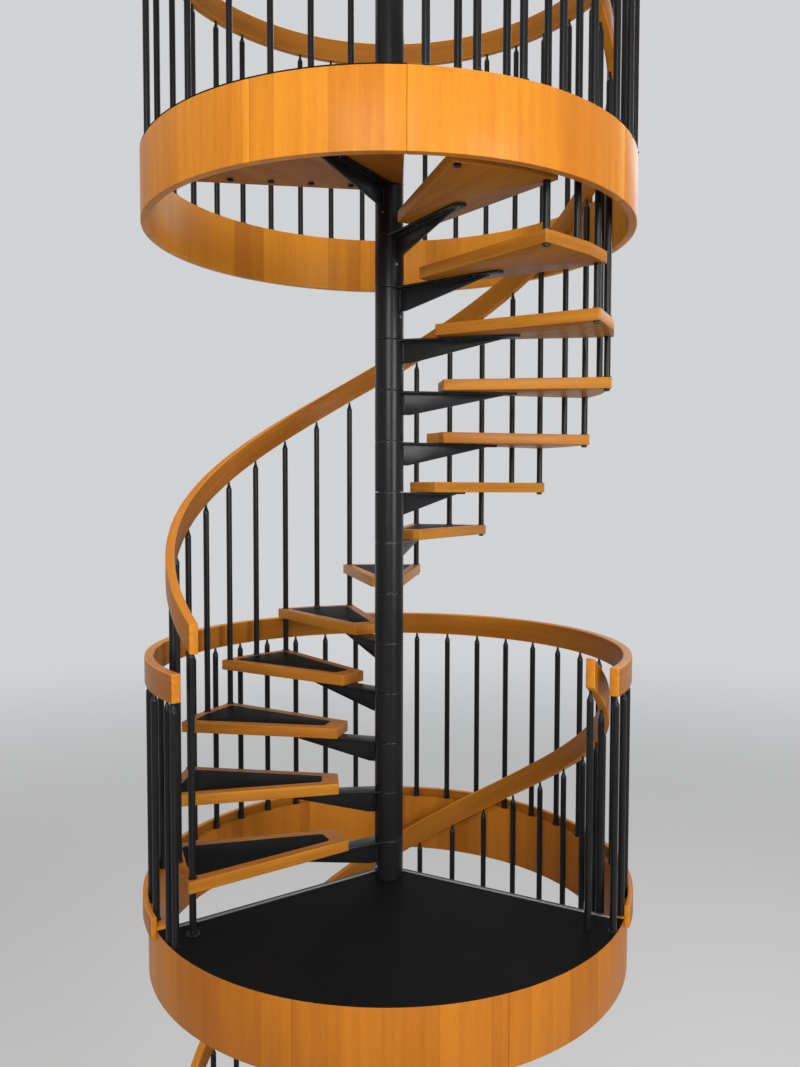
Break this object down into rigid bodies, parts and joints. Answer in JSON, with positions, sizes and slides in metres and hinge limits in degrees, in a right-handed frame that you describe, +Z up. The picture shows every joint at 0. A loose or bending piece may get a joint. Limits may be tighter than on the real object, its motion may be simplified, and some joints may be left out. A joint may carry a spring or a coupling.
{
  "type": "spiral staircase",
  "caption": "Spiral staircase with beech treads on a black steel column, with round landings, laminated handrails and steel balusters.",
  "frame": {"origin": "centre of the base flange's underside, on the lowest floor", "axes": "+Z up along the column, +Y away from the side that the picture shows"},
  "size_m": [1.9303, 1.9129, 6.575],
  "materials": {
    "black_steel": "satin black powder coat",
    "beech": "satin lacquered beech",
    "tread_inlay": "matt black",
    "edge_strip": "satin"
  },
  "bodies": {
    "root": {"base_flange": "black_steel", "centre_post": "black_steel", "lower_brackets": "black_steel", "upper_brackets": "black_steel", "room_landing_bracket": "black_steel", "top_landing_bracket": "black_steel", "head_sleeve": "black_steel", "head_cap": "black_steel", "lower_balusters": "black_steel", "upper_balusters": "black_steel", "room_guard_balusters": "black_steel", "top_guard_balusters": "black_steel", "end_guard_balusters": "black_steel", "lower_treads": "beech", "upper_tread_1": "beech", "upper_tread_2": "beech", "upper_tread_3": "beech", "upper_tread_4": "beech", "upper_tread_5": "beech", "upper_tread_6": "beech", "upper_tread_7": "beech", "upper_tread_8": "beech", "upper_tread_9": "beech", "upper_tread_10": "beech", "upper_tread_11": "beech", "upper_tread_12": "beech", "upper_tread_13": "beech", "lower_handrail": "beech", "upper_handrail": "beech", "room_deck": "beech", "top_deck": "beech", "room_fascia": "beech", "top_fascia": "beech", "room_curb": "beech", "room_guard_rail": "beech", "top_guard_rail": "beech", "end_guard_rail": "beech", "lower_inlays": "tread_inlay", "upper_inlays": "tread_inlay", "room_cover": "tread_inlay", "top_cover": "tread_inlay", "room_nosings": "edge_strip", "top_nosing": "edge_strip"}
  },
  "joints": []
}
